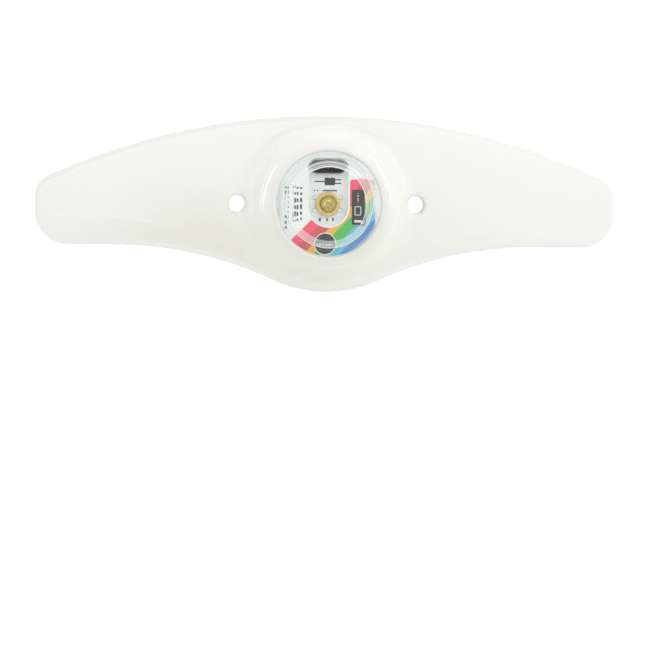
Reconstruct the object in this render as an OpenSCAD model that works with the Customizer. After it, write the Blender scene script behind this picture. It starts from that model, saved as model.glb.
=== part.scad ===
// Spoke wheel light: a soft translucent blade with a round light module in its hub.
// Millimetres. +Z points out of the front face, +X runs along the blade, and the part lies on
// its back pad at Z = 0 with the hub axis on the origin.

/* [Blade] */
// Length of the blade from tip to tip
blade_length = 148; // [130:1:170]
// Flange of flat blade left between the hub's foot and the edge of the blade
brim = 2.2; // [1.4:0.1:6]
// Distance from the hub axis down to the wings' straight lower edges
wing_drop = 10.6; // [9:0.1:13]
// Depth of a wing tip from its lower edge to the top of its upper corner
tip_width = 17.8; // [16:0.1:22]
// Radius of the upper corner of a tip
tip_top_radius = 5.5; // [3:0.1:7]
// Radius of the lower corner of a tip
tip_bottom_radius = 8.5; // [5:0.1:9]
// Length of the straight lower edge next to a tip
wing_straight = 12.1; // [6:0.1:20]
// Radius of the rounded belly under the hub
belly_radius = 32; // [20:1:45]
// Thickness of the wings at their rounded edge
wing_edge = 2.6; // [1.6:0.1:4]
// Height that the front face of the wings swells above their edge
front_crown = 1.1; // [0.4:0.1:2]
// Height that the back face of the wings swells below their edge
back_crown = 0.5; // [0.2:0.1:1]
// Distance of the front and back ridges from the wings' lower edge
ridge_inset = 4.8; // [3:0.1:8]
// Height of the middle plane of the wings above the back pad
wing_height = 5.4; // [4:0.1:7]
// Diameter of the two holes for the cable ties
tie_hole_d = 4.4; // [3:0.1:6]
// Distance between the hub's foot and a tie hole
tie_hole_margin = 0.5; // [0.2:0.1:4]

/* [Hub] */
// Thickness of the soft skin behind the light module
back_skin = 1.4; // [1:0.1:2.5]
// Thickness of the hub wall beside the light module, up to the round of the rim
hub_wall = 1.7; // [1:0.1:4]
// Radius of the round of the hub's front rim
rim_round = 2.4; // [1.5:0.1:3]
// Slope of the hub's front flank, from the face of the blade
flank_angle = 75; // [60:1:80]
// Radius of the fillet at the foot of the front flank
foot_fillet = 1.5; // [1:0.1:3]
// Width that the rim covers of the edge of the light module
rim_lip = 0.2; // [0.1:0.05:1]
// Thickness of the rim over the window's flange
lip_thickness = 1; // [0.7:0.1:2]
// Round on the inner edge of the rim
lip_round = 0.7; // [0.3:0.1:0.9]
// Radius of the flat pad on the back of the hub
pad_radius = 11.5; // [9:0.5:12.5]
// Length of the slit in the back skin
slit_length = 19; // [14:0.5:21]
// Width of the closed slit
slit_width = 0.7; // [0.3:0.1:1.2]
// Height of the slit's middle above the hub axis
slit_offset = 2; // [0:0.5:3]

/* [Window and button] */
// Air between the face of the light module and the window
window_gap = 0.3; // [0.2:0.05:0.6]
// Thickness of the window's outer flange
window_flange = 1.05; // [0.8:0.05:2]
// Width of the window's flange that the rim holds
window_bite = 1.2; // [0.8:0.1:2]
// Height that the clear ring stands above its flange
window_step = 0.3; // [0.2:0.05:0.6]
// Width of the clear ring between the hub's opening and the button
button_margin = 2.05; // [1.6:0.05:4]
// Height of the button's top above the underside of the window
button_height = 3.1; // [3:0.1:4]
// Width of the button's hidden flange
button_flange = 0.9; // [0.5:0.1:1.2]
// Thickness of the button's hidden flange
button_flange_t = 0.5; // [0.4:0.1:0.6]
// Height of the button's flange above the underside of the window
button_lift = 0.3; // [0.2:0.05:0.4]
// Width of the sloping edge round the button's flat top
button_bevel = 1.9; // [0.6:0.1:3]
// Height of the sloping edge round the button's flat top
button_slope = 1; // [0.4:0.1:1.2]
// Diameter of the post that presses the switch
post_d = 3.6; // [2:0.1:3.6]

/* [Light module] */
// Wall of the light module's rear shell
cup_wall = 1.2; // [1:0.1:2]
// Floor of the rear shell
cup_floor = 1; // [0.8:0.1:2]
// Width of the ledge that carries the circuit board
ledge = 0.6; // [0.4:0.05:0.8]
// Depth of the lap where the front shell enters the rear shell
lap = 0.4; // [0.3:0.05:0.6]
// Thickness of the front shell's face
face_wall = 0.8; // [0.6:0.1:1.2]
// Thickness of the front shell's inner skirt
skirt_wall = 0.7; // [0.5:0.05:0.8]
// Height of the front shell's face above the circuit board
face_height = 1.7; // [1.6:0.05:3]
// Round on the outer edges of the shells
shell_round = 0.4; // [0.2:0.05:0.7]
// Thickness of the printed label
label_t = 0.12; // [0.1:0.01:0.2]
// Distance of the label's edge from the edge of the front shell
label_inset = 0.45; // [0.4:0.05:1.5]
// Depth of the flats on the left and right of the label
label_flat = 1.1; // [0.2:0.1:1.5]
// Depth of the steps in the front shell beside the label's flats
side_step = 0.5; // [0.2:0.05:0.6]
// Border between the access opening and what it gives access to
access_border = 0.5; // [0.4:0.05:0.6]
// Distance from the switch axis to the lower end of the access opening
access_drop = 5.6; // [5:0.1:6]

/* [Circuit board] */
// Thickness of the circuit board
board_t = 1; // [0.8:0.1:1.6]
// Height of the tallest chip under the board
chip_height = 1.45; // [1.3:0.05:2]
// Lead frame thickness of the chips
lead_t = 0.2; // [0.12:0.02:0.25]
// Width of a side-facing lamp along the edge of the board
led_width = 3; // [2:0.1:4]
// Depth of a side-facing lamp
led_depth = 1.4; // [1:0.1:2]
// Height of a side-facing lamp
led_height = 1.1; // [0.8:0.1:1.4]
// Thickness of a lamp's lens
led_lens_t = 0.25; // [0.15:0.05:0.4]

/* [Switch] */
// Radius of the switch's base
switch_base_r = 2.75; // [2.6:0.05:3.2]
// Height of the switch's base
switch_base_h = 0.8; // [0.65:0.05:1]
// Thickness of the switch's metal cover
switch_cover_t = 0.2; // [0.15:0.05:0.3]
// Radius of the switch's plunger
plunger_r = 1.85; // [1.4:0.05:2]
// Height of the plunger's top above the cover
plunger_rise = 0.55; // [0.45:0.05:0.6]
// Travel of the switch
switch_travel = 0.3; // [0.2:0.05:0.3]
// Thickness of the snap dome
dome_t = 0.08; // [0.06:0.01:0.1]

/* [Charging port] */
// Width of the port's metal shell
port_w = 8.94; // [7.5:0.02:9.2]
// Height of the port's metal shell
port_h = 3.26; // [2.6:0.02:3.4]
// Depth of the port's metal shell
port_depth = 6.2; // [5:0.1:6.8]
// Wall of the port's metal shell
port_wall = 0.25; // [0.2:0.01:0.35]
// Width of the port's tongue
tongue_w = 6.7; // [5.5:0.1:7]
// Thickness of the port's tongue
tongue_t = 0.7; // [0.5:0.05:0.9]
// Number of contacts on each side of the tongue
contacts_per_side = 3; // [2:1:6]

/* [Battery] */
// Diameter of the rechargeable coin cell
battery_d = 16; // [12:0.5:20]
// Height of the coin cell
battery_h = 3.2; // [2.5:0.1:5.4]
// Thickness of the nickel tabs
tab_t = 0.15; // [0.1:0.01:0.2]
// Width of the nickel tabs
tab_w = 3; // [2:0.1:4]
// Thickness of the foam pad on the cell
pad_t = 0.6; // [0.4:0.1:1]
// Thickness of the ribs round the cell
rib_t = 0.8; // [0.6:0.1:1.2]
// Height of the ribs round the cell
rib_h = 1.6; // [1:0.1:2.4]
// Depth by which the ribs merge with the wall of the rear shell
rib_root = 0.2; // [0.1:0.05:0.4]
// Space between the cell's ribs and the charging port
port_gap = 2.44; // [1:0.02:4]
// Space between the charging port and the wall of the rear shell
port_margin = 1.2; // [1.2:0.1:3]

/* [Clearances] */
// Radial gap of the light module in its soft pocket
pocket_gap = 0.2; // [0.1:0.05:0.4]
// Gap between shells, board and other fixed pieces
fit = 0.1; // [0.05:0.01:0.15]
// Radial gap round the coin cell in its ribs
battery_gap = 0.15; // [0.1:0.01:0.3]
// Radial gap round the button
slide_gap = 0.1; // [0.05:0.01:0.15]
// Radial gap round the plunger where it comes out of the cover
plunger_gap = 0.2; // [0.1:0.01:0.25]
// Gap between pieces that touch in use
touch_gap = 0.04; // [0.02:0.01:0.1]

/* [Hidden] */
resistor_count = 4;
capacitor_count = 3;
$fn = 96;

// Light module, in plan: the cell and the port stand side by side across the rear shell
battery_r = battery_d / 2;
rib_r = battery_r + battery_gap + rib_t;
cup_inner_r = (2 * rib_r - rib_root + port_gap + port_h + port_margin) / 2;
module_r = cup_inner_r + cup_wall;
battery_y = -cup_inner_r - rib_root + rib_r;
port_y = cup_inner_r - port_margin - port_h / 2;
board_r = cup_inner_r + ledge - fit;
skirt_r = board_r;
label_r = module_r - label_inset;
step_x = label_r - label_flat + 0.35;
access_half_w = port_w / 2 + access_border;
access_top = port_y + port_h / 2 + access_border;
access_corner = port_h / 2 + access_border;

// Light module, in height
module_z = back_skin;
cup_floor_z = module_z + cup_floor;
battery_z = cup_floor_z + tab_t;
battery_top = battery_z + battery_h;
pad_z = battery_top + tab_t;
board_z = pad_z + pad_t + touch_gap + chip_height;
board_top = board_z + board_t;
joint_z = board_top + lap;
face_z = board_top + face_height;
label_top = face_z + label_t;

// Switch, in height
cover_z = board_top + switch_base_h;
cover_top = cover_z + switch_cover_t;
plunger_top = cover_top + plunger_rise;
plunger_collar = 0.1;
switch_floor = switch_base_h - plunger_collar - switch_travel - dome_t - 3 * touch_gap;
plunger_collar_r = plunger_r + plunger_gap + 0.15;
switch_cavity_r = plunger_collar_r + slide_gap;
cover_r = switch_base_r + fit + switch_cover_t;

// Window and button
window_z = face_z + window_gap;
window_flange_top = window_z + window_flange;
window_top = window_flange_top + window_step;
opening_r = module_r - rim_lip;
window_flange_r = opening_r + window_bite;
button_r = opening_r - button_margin;
button_z = window_z + button_lift;
button_top = window_z + button_height;

// Hub, from the light module outwards
crest_z = window_flange_top + lip_thickness;
pocket_r = module_r + pocket_gap;
rim_flat_r = pocket_r + hub_wall;
rim_end = [rim_flat_r + rim_round * sin(flank_angle), crest_z - rim_round * (1 - cos(flank_angle))];
foot_z = wing_height + wing_edge / 2;
foot_drop = foot_fillet * (1 - cos(flank_angle));
flank_run = (rim_end[1] - foot_z - foot_drop) / tan(flank_angle);
hub_foot_r = rim_end[0] + flank_run + foot_fillet * sin(flank_angle);

// Blade outline: a crest arc above, a belly arc below, and swept wings with rounded tips
half_length = blade_length / 2;
crest_height = hub_foot_r + brim;
belly_depth = hub_foot_r + brim;
tip_top = [half_length - tip_top_radius, -wing_drop + tip_width - tip_top_radius];
tip_bottom = [half_length - tip_bottom_radius, -wing_drop + tip_bottom_radius];
crest_fall = crest_height - tip_top[1];
crest_radius = (tip_top[0] ^ 2 + crest_fall ^ 2 - tip_top_radius ^ 2) / (2 * (crest_fall - tip_top_radius));
crest_end = tip_top[0] * crest_radius / (crest_radius - tip_top_radius);
sweep_end = tip_bottom[0] - wing_straight;
sweep_rise = belly_depth - wing_drop;
sweep_angle = 2 * atan(sweep_rise / sweep_end);
sweep_radius = sweep_rise / (1 - cos(sweep_angle)) - belly_radius;
belly_end = belly_radius * sin(sweep_angle);
tie_hole_x = hub_foot_r + tie_hole_margin + tie_hole_d / 2;

// Upper and lower edge of the blade at a distance x from the hub axis
function crest_y(x) =
    x < crest_end
        ? crest_height - crest_radius + sqrt(crest_radius ^ 2 - x ^ 2)
        : tip_top[1] + sqrt(max(0, tip_top_radius ^ 2 - (x - tip_top[0]) ^ 2));
function belly_y(x) =
    x < belly_end ? -belly_depth + belly_radius - sqrt(belly_radius ^ 2 - x ^ 2)
    : x < sweep_end ? -wing_drop - sweep_radius + sqrt(sweep_radius ^ 2 - (sweep_end - x) ^ 2)
    : x < tip_bottom[0] ? -wing_drop
    : tip_bottom[1] - sqrt(max(0, tip_bottom_radius ^ 2 - (x - tip_bottom[0]) ^ 2));

// Blade cross-section: rounded edges, and faces that swell to a soft ridge near the lower edge
edge_r = wing_edge / 2;
edge_steps = 3;
low_steps = 3;
high_steps = 6;
swell_width = 30;
tip_land = 0.3;
function ridge(w) = min(ridge_inset, w / 2);
function edge_round(d) = d < edge_r ? sqrt(1 - (1 - d / edge_r) ^ 2) : 1;
function swell(d, w) = let (r = ridge(w), s = d < r ? d / r : (w - d) / (w - r)) s * (2 - s);
function across(w) = concat(
    [for (i = [0:edge_steps - 1]) edge_r * (1 - cos(90 * i / edge_steps))],
    [for (i = [0:low_steps - 1]) edge_r + (ridge(w) - edge_r) * i / low_steps],
    [for (i = [0:high_steps]) ridge(w) + (w - edge_r - ridge(w)) * i / high_steps],
    [for (i = [edge_steps - 1:-1:0]) w - edge_r * (1 - cos(90 * i / edge_steps))]
);
function section(x) =
    let (
        low = belly_y(abs(x)),
        high = crest_y(abs(x)),
        w = high - low,
        tip = max(tip_land, edge_round(half_length - abs(x))),
        crown = min(1, w / swell_width),
        steps = across(w),
        last = len(steps) - 1
    )
    concat(
        [for (d = steps)
            let (round_off = edge_round(min(d, w - d)))
            [x, low + d, wing_height + tip * (edge_r * round_off + front_crown * crown * swell(d, w))]],
        [for (i = [last - 1:-1:1])
            let (d = steps[i], round_off = edge_round(min(d, w - d)))
            [x, low + d, wing_height - tip * (edge_r * round_off + back_crown * crown * swell(d, w))]]
    );

// Stations along the blade, close together where the tips turn
tip_steps = 4;
corner_steps = 6;
wing_steps = 24;
corner_start = tip_bottom[0];
right_stations = concat(
    [for (i = [1:wing_steps]) corner_start * i / wing_steps],
    [for (i = [1:corner_steps]) corner_start + (half_length - edge_r - corner_start) * sin(90 * i / corner_steps)],
    [for (i = [tip_steps - 1:-1:0]) half_length - edge_r * (1 - cos(90 * i / tip_steps))]
);
count = len(right_stations);
stations = concat([for (i = [count - 1:-1:0]) -right_stations[i]], [0], right_stations);

// Closed triangle mesh through rings of equal length, with flat ends
module loft(rings) {
    ring = len(rings[0]);
    last = len(rings) - 1;
    polyhedron(
        points = [for (r = rings) each r],
        faces = concat(
            [for (i = [0:last - 1], j = [0:ring - 1])
                let (a = i * ring + j, b = i * ring + (j + 1) % ring)
                each [[a, b, a + ring], [b, b + ring, a + ring]]],
            [for (j = [1:ring - 2]) [0, j + 1, j]],
            [for (j = [1:ring - 2]) [last * ring, last * ring + j, last * ring + j + 1]]
        )
    );
}

// Points of an arc in the profile plane
arc_steps = 8;
function arc(centre, r, from, to) =
    [for (i = [0:arc_steps]) let (a = from + (to - from) * i / arc_steps) centre + r * [cos(a), sin(a)]];

// Half profile of the hub: domed back, steep front flank and rounded rim
back_dome_r = ((hub_foot_r - pad_radius) ^ 2 + wing_height ^ 2) / (2 * wing_height);
back_dome_angle = asin((hub_foot_r - pad_radius) / back_dome_r);
module hub_profile() {
    foot_centre = [hub_foot_r, foot_z + foot_fillet];
    polygon(concat(
        [[0, 0]],
        arc([pad_radius, back_dome_r], back_dome_r, -90, -90 + back_dome_angle),
        arc(foot_centre, foot_fillet, 270, 270 - flank_angle),
        arc([rim_flat_r, crest_z - rim_round], rim_round, 90 - flank_angle, 90),
        arc([opening_r + lip_round, crest_z - lip_round], lip_round, 90, 180),
        [[0, crest_z - lip_round]]
    ));
}

// Space inside the hub: the pocket of the light module, the window's seat and the front opening
module hub_space() {
    seat_top = window_flange_top + fit / 2;
    translate([0, 0, module_z])
        cylinder(r = pocket_r, h = seat_top - module_z);
    translate([0, 0, window_z - fit / 2])
        cylinder(r = window_flange_r + fit / 2, h = seat_top - window_z + fit / 2);
    cylinder(r = opening_r, h = crest_z + 1);
}

module blade() {
    color([0.93, 0.94, 0.91, 0.85])
    difference() {
        union() {
            loft([for (x = stations) section(x)]);
            rotate_extrude() hub_profile();
        }
        difference() {
            hub_space();
            translate([0, 0, -1])
                cylinder(r = module_r + 1, h = module_z + 1);
        }
        for (side = [-1, 1])
            translate([side * tie_hole_x, 0, -1])
                cylinder(d = tie_hole_d, h = crest_z + 1);
        translate([-slit_width / 2, slit_offset - slit_length / 2, -1])
            cube([slit_width, slit_length, module_z + 2]);
    }
}

// Clear ring bonded under the hub's rim, with a recess for the button's flange
module window_ring() {
    bore_r = button_r + slide_gap;
    recess_r = button_r + button_flange + slide_gap;
    recess_top = button_z + button_flange_t + touch_gap;
    color([0.9, 0.95, 0.95, 0.35])
    rotate_extrude()
        polygon(concat(
            [[recess_r, window_z], [window_flange_r, window_z]],
            [[window_flange_r, window_flange_top], [opening_r - fit, window_flange_top]],
            arc([opening_r - fit - window_step, window_flange_top], window_step, 0, 90),
            [[bore_r, window_top], [bore_r, recess_top], [recess_r, recess_top]]
        ));
}

// Clear button: a bevelled disc with a hidden flange, and a post that reaches the switch
module press_button() {
    post_r = post_d / 2;
    post_bottom = plunger_top + touch_gap;
    color([0.9, 0.95, 0.95, 0.35])
    rotate_extrude()
        polygon(concat(
            [[0, post_bottom], [post_r, post_bottom], [post_r, button_z]],
            [[button_r + button_flange, button_z], [button_r + button_flange, button_z + button_flange_t]],
            [[button_r, button_z + button_flange_t]],
            [[button_r, button_top - button_slope], [button_r - button_bevel, button_top]],
            [[0, button_top]]
        ));
}

// Outline of the access opening over the port and the switch, grown by a border
module access_outline(border = 0) {
    half = access_half_w + border;
    corner = access_corner + border;
    lower_y = access_half_w - access_drop;
    translate([0, lower_y]) circle(r = half);
    translate([-half, lower_y])
        square([2 * half, access_top + border - corner - lower_y]);
    translate([-half + corner, lower_y])
        square([2 * (half - corner), access_top + border - lower_y]);
    for (side = [-1, 1])
        translate([side * (half - corner), access_top + border - corner])
            circle(r = corner);
}

// Front shell: a round cap with an access opening, a side step at each end and a skirt over the board
module front_shell() {
    color([0.9, 0.91, 0.91])
    difference() {
        rotate_extrude()
            polygon(concat(
                [[skirt_r - skirt_wall, board_top], [skirt_r, board_top], [skirt_r, joint_z]],
                [[module_r, joint_z]],
                arc([module_r - shell_round, face_z - shell_round], shell_round, 0, 90),
                [[0, face_z], [0, face_z - face_wall], [skirt_r - skirt_wall, face_z - face_wall]]
            ));
        translate([0, 0, face_z - face_wall - 1])
            linear_extrude(face_wall + 2) access_outline();
        for (side = [-1, 1])
            translate([side > 0 ? step_x : -2 * module_r, -module_r, face_z - side_step])
                cube([2 * module_r - step_x, 2 * module_r, 1]);
    }
}

// Rear shell: a round cup with a ledge for the board and a ring of ribs round the cell
module rear_shell() {
    rim_r = board_r + fit;
    color([0.92, 0.93, 0.92, 0.9])
    difference() {
        union() {
            rotate_extrude()
                polygon(concat(
                    [[0, module_z]],
                    arc([module_r - shell_round, module_z + shell_round], shell_round, -90, 0),
                    [[module_r, joint_z], [rim_r, joint_z], [rim_r, board_z]],
                    [[cup_inner_r, board_z], [cup_inner_r, cup_floor_z], [0, cup_floor_z]]
                ));
            translate([0, battery_y, cup_floor_z])
                difference() {
                    cylinder(r = rib_r, h = rib_h);
                    translate([0, 0, -1])
                        cylinder(r = battery_r + battery_gap, h = rib_h + 2);
                }
        }
        for (side = [-1, 1])
            translate([side * tab_x() - 2 * rib_t, battery_y - tab_w / 2 - fit, cup_floor_z])
                cube([4 * rib_t, tab_w + 2 * fit, rib_h + 1]);
    }
}

// Thin printed label on the front shell, with a flat on its left and right
module face_label() {
    color([0.93, 0.93, 0.92])
    translate([0, 0, face_z])
        linear_extrude(label_t)
            difference() {
                circle(r = label_r);
                access_outline(fit);
                for (side = [-1, 1])
                    translate([side > 0 ? label_r - label_flat : -2 * label_r, -label_r])
                        square([label_r + label_flat, 2 * label_r]);
            }
}

// Round-ended outline of the charging port, grown by a border
module port_outline(border = 0) {
    r = port_h / 2 + border;
    reach = port_w / 2 + border - r;
    translate([-reach, -r]) square([2 * reach, 2 * r]);
    for (side = [-1, 1])
        translate([side * reach, 0]) circle(r = r);
}

// Distance of the cell's tabs from the hub axis where they rise to the board
function tab_x() = battery_r + battery_gap + rib_t / 2;

module circuit_board() {
    color([0.88, 0.9, 0.9])
    difference() {
        translate([0, 0, board_z])
            cylinder(r = board_r, h = board_t);
        translate([0, port_y, board_z - 1])
            linear_extrude(board_t + 2) port_outline(fit);
        for (side = [-1, 1])
            translate([side * tab_x() - tab_t / 2 - fit, battery_y - tab_w / 2 - fit, board_z - 1])
                cube([tab_t + 2 * fit, tab_w + 2 * fit, board_t + 2]);
    }
}

port_mouth = face_z - 0.1;
port_end = port_mouth - port_depth;
insulator_h = 1;

// Metal shell of the charging port, with two ears soldered to the board
module usb_shell() {
    ear_w = 1.6;
    ear_t = 0.25;
    ear_reach = access_half_w - fit;
    color([0.72, 0.73, 0.74])
    difference() {
        union() {
            translate([0, port_y, port_end])
                linear_extrude(port_depth) port_outline();
            translate([-ear_reach, port_y - ear_w / 2, board_top])
                cube([2 * ear_reach, ear_w, ear_t]);
        }
        translate([0, port_y, port_end - 1])
            linear_extrude(port_depth + 2) port_outline(-port_wall);
    }
}

// Insulator at the bottom of the port and the tongue that stands on it
module usb_tongue() {
    tongue_top = port_mouth - 0.6;
    color([0.12, 0.12, 0.13])
    translate([0, port_y, port_end]) {
        linear_extrude(insulator_h) port_outline(-port_wall);
        translate([-tongue_w / 2, -tongue_t / 2, insulator_h])
            cube([tongue_w, tongue_t, tongue_top - port_end - insulator_h]);
    }
}

// Gold contacts on both faces of the tongue
module usb_contacts() {
    contact_w = 0.4;
    contact_t = 0.1;
    contact_top = port_mouth - 1.1;
    pitch = tongue_w / contacts_per_side;
    color([0.85, 0.68, 0.3])
    for (side = [0, 1], i = [0:contacts_per_side - 1])
        translate([
            -tongue_w / 2 + pitch * (i + 0.5) - contact_w / 2,
            port_y + (side ? tongue_t / 2 : -tongue_t / 2 - contact_t),
            port_end + insulator_h
        ])
            cube([contact_w, contact_t, contact_top - port_end - insulator_h]);
}

// Moulded base of the switch, hollow under the plunger
module switch_base() {
    color([0.2, 0.2, 0.2])
    difference() {
        translate([0, 0, board_top])
            cylinder(r = switch_base_r, h = switch_base_h);
        translate([0, 0, board_top + switch_floor])
            cylinder(r = switch_cavity_r, h = switch_base_h);
    }
}

// Brass cover: a ring over the base with a skirt round it
skirt_start = 0.3;
module switch_cover() {
    hole_r = plunger_r + plunger_gap;
    cover_edge = switch_cover_t;
    color([0.83, 0.66, 0.27])
    rotate_extrude()
        polygon(concat(
            [[hole_r, cover_z], [switch_base_r + fit, cover_z]],
            [[switch_base_r + fit, board_top + skirt_start], [cover_r, board_top + skirt_start]],
            arc([cover_r - cover_edge, cover_top - cover_edge], cover_edge, 0, 90),
            [[hole_r, cover_top]]
        ));
}

// Plunger with a collar under the cover
module switch_plunger() {
    collar_top = cover_z - touch_gap;
    dish_r = plunger_r * 0.7;
    dish = 0.08;
    color([0.78, 0.63, 0.3])
    rotate_extrude()
        polygon([
            [0, collar_top - plunger_collar], [plunger_collar_r, collar_top - plunger_collar],
            [plunger_collar_r, collar_top], [plunger_r, collar_top],
            [plunger_r, plunger_top - dish], [plunger_r - dish, plunger_top],
            [0, plunger_top]
        ]);
}

// Springy dome under the plunger
module switch_dome() {
    dome_r = switch_cavity_r - fit;
    floor_z = board_top + switch_floor;
    dome_top = cover_z - 2 * touch_gap - plunger_collar;
    rise = dome_top - floor_z - dome_t;
    sphere_r = (dome_r ^ 2 + rise ^ 2) / (2 * rise);
    half_angle = asin(dome_r / sphere_r);
    color([0.75, 0.75, 0.76])
    rotate_extrude()
        polygon(concat(
            arc([0, dome_top - sphere_r], sphere_r, 90 - half_angle, 90),
            arc([0, dome_top - sphere_r], sphere_r - dome_t, 90, 90 - half_angle)
        ));
}

// Four solder legs of the switch
module switch_terminals() {
    leg_w = 0.7;
    leg_y = switch_base_r * 0.6;
    leg_end = cover_r + 0.45;
    color([0.8, 0.8, 0.8])
    difference() {
        for (sx = [-1, 1], sy = [-1, 1])
            translate([sx > 0 ? 0 : -leg_end, sy * leg_y - leg_w / 2, board_top])
                cube([leg_end, leg_w, lead_t]);
        translate([0, 0, board_top - 1])
            cylinder(r = switch_base_r + touch_gap / 2, h = 2);
    }
}

// Side-facing lamp under the board; side is -1 on the left and 1 on the right
led_face = cup_inner_r - led_lens_t - 2 * fit;
module led_body(side) {
    color([0.95, 0.95, 0.93])
    translate([side > 0 ? led_face - led_depth : -led_face, -led_width / 2, board_z - led_height])
        cube([led_depth, led_width, led_height]);
}

module led_lens(side) {
    frame = 0.2;
    color([0.95, 0.9, 0.6, 0.6])
    translate([
        side > 0 ? led_face : -led_face - led_lens_t,
        -led_width / 2 + frame,
        board_z - led_height + frame
    ])
        cube([led_lens_t, led_width - 2 * frame, led_height - 2 * frame]);
}

// Chip under the board: moulded body centred at a point of the board
module chip_body(at, size, stand_off) {
    color([0.13, 0.13, 0.14])
    translate([at[0] - size[0] / 2, at[1] - size[1] / 2, board_z - stand_off - size[2]])
        cube(size);
}

// Flat leads along two sides of a chip, counts[0] on the left and counts[1] on the right
module chip_leads(at, size, reach, counts, pitch, lead_w) {
    color([0.78, 0.78, 0.79])
    for (k = [0, 1], i = [0:counts[k] - 1])
        translate([
            at[0] + (k ? size[0] / 2 : -size[0] / 2 - reach),
            at[1] + pitch * (i - (counts[k] - 1) / 2) - lead_w / 2,
            board_z - lead_t
        ])
            cube([reach, lead_w, lead_t]);
}

chip_stand_off = 0.1;
control_chip_at = [0, battery_y];
control_chip_size = [3.9, 4.9, chip_height - chip_stand_off];
charge_chip_at = [-battery_r * 0.8, battery_y + battery_r * 0.57];
charge_chip_size = [1.6, 2.9, 1.1];

// Chip resistor or capacitor: body with two plated ends, at a point under the board
passive_size = [1.6, 0.8];
module passive(at, height, turn, body_colour) {
    translate([at[0], at[1], board_z - height])
        rotate(turn)
            translate([-passive_size[0] / 2, -passive_size[1] / 2, 0])
                color(body_colour) cube([passive_size[0], passive_size[1], height]);
}

// Small parts stand in a row above and below the control chip
passive_pitch = 2;
function resistor_at(i) = [5.2, battery_y + passive_pitch * (i - (resistor_count + 1) / 2)];
function capacitor_at(i) = [-5.2, battery_y - 1 + passive_pitch * (i - (capacitor_count + 1) / 2)];

// Coin cell: a can with a flat bottom, a smaller cap and an insulating ring between them
can_wall = 0.25;
gasket_wall = 0.35;
gasket_r = battery_r - can_wall - touch_gap / 2;
gasket_inner_r = gasket_r - gasket_wall;
cap_r = gasket_inner_r - touch_gap / 2;
cap_step = 0.4;
module battery_can() {
    color([0.74, 0.75, 0.76])
    translate([0, battery_y, battery_z])
        rotate_extrude()
            polygon(concat(
                [[0, 0]],
                arc([battery_r - can_wall, can_wall], can_wall, -90, 0),
                [[battery_r, battery_h - cap_step], [battery_r - can_wall, battery_h - cap_step]],
                [[battery_r - can_wall, can_wall], [0, can_wall]]
            ));
}

module battery_gasket() {
    color([0.25, 0.25, 0.26])
    translate([0, battery_y, battery_z])
        rotate_extrude()
            polygon([
                [gasket_inner_r, can_wall], [gasket_r, can_wall],
                [gasket_r, battery_h - cap_step / 2], [gasket_inner_r, battery_h - cap_step / 2]
            ]);
}

module battery_cap() {
    color([0.78, 0.79, 0.8])
    translate([0, battery_y, battery_z])
        rotate_extrude()
            polygon(concat(
                [[0, can_wall], [cap_r, can_wall]],
                arc([cap_r - can_wall, battery_h - can_wall], can_wall, 0, 90),
                [[0, battery_h]]
            ));
}

// Nickel tab: a strip on the cell and an upright that passes through the board
module battery_tab(side, strip_z) {
    upright_x = side * tab_x() - tab_t / 2;
    start = side > 0 ? 0 : upright_x;
    reach = side > 0 ? upright_x + tab_t : -upright_x;
    pin_rise = 0.4;
    color([0.72, 0.72, 0.7]) {
        translate([start, battery_y - tab_w / 2, strip_z])
            cube([reach, tab_w, tab_t]);
        translate([upright_x, battery_y - tab_w / 2, strip_z])
            cube([tab_t, tab_w, board_top + pin_rise - strip_z]);
    }
}

// Foam pad between the cell and the parts under the board
module battery_pad() {
    color([0.2, 0.2, 0.22])
    translate([0, battery_y, pad_z])
        cylinder(r = battery_r - rib_t, h = pad_t);
}

blade();
window_ring();
press_button();
front_shell();
rear_shell();
face_label();
circuit_board();
usb_shell();
usb_tongue();
usb_contacts();
switch_base();
switch_cover();
switch_plunger();
switch_dome();
switch_terminals();
led_body(-1);  // led_left
led_body(1);  // led_right
led_lens(-1);  // led_left_lens
led_lens(1);  // led_right_lens
chip_body(control_chip_at, control_chip_size, chip_stand_off);  // control_chip
chip_leads(control_chip_at, control_chip_size, 1.05, [4, 4], 1.27, 0.42);  // control_chip_leads
chip_body(charge_chip_at, charge_chip_size, chip_stand_off);  // charge_chip
chip_leads(charge_chip_at, charge_chip_size, 0.6, [3, 2], 0.95, 0.4);  // charge_chip_leads
for (i = [1:resistor_count])
    passive(resistor_at(i), 0.45, 0, [0.1, 0.1, 0.11]);
for (i = [1:capacitor_count])
    passive(capacitor_at(i), 0.8, 0, [0.72, 0.6, 0.45]);
battery_can();
battery_cap();
battery_gasket();
battery_tab(-1, cup_floor_z);  // battery_tab_positive
battery_tab(1, battery_top);  // battery_tab_negative
battery_pad();
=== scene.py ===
import math
from functools import reduce

import bpy
import numpy as np
from mathutils import Matrix, Vector


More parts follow.
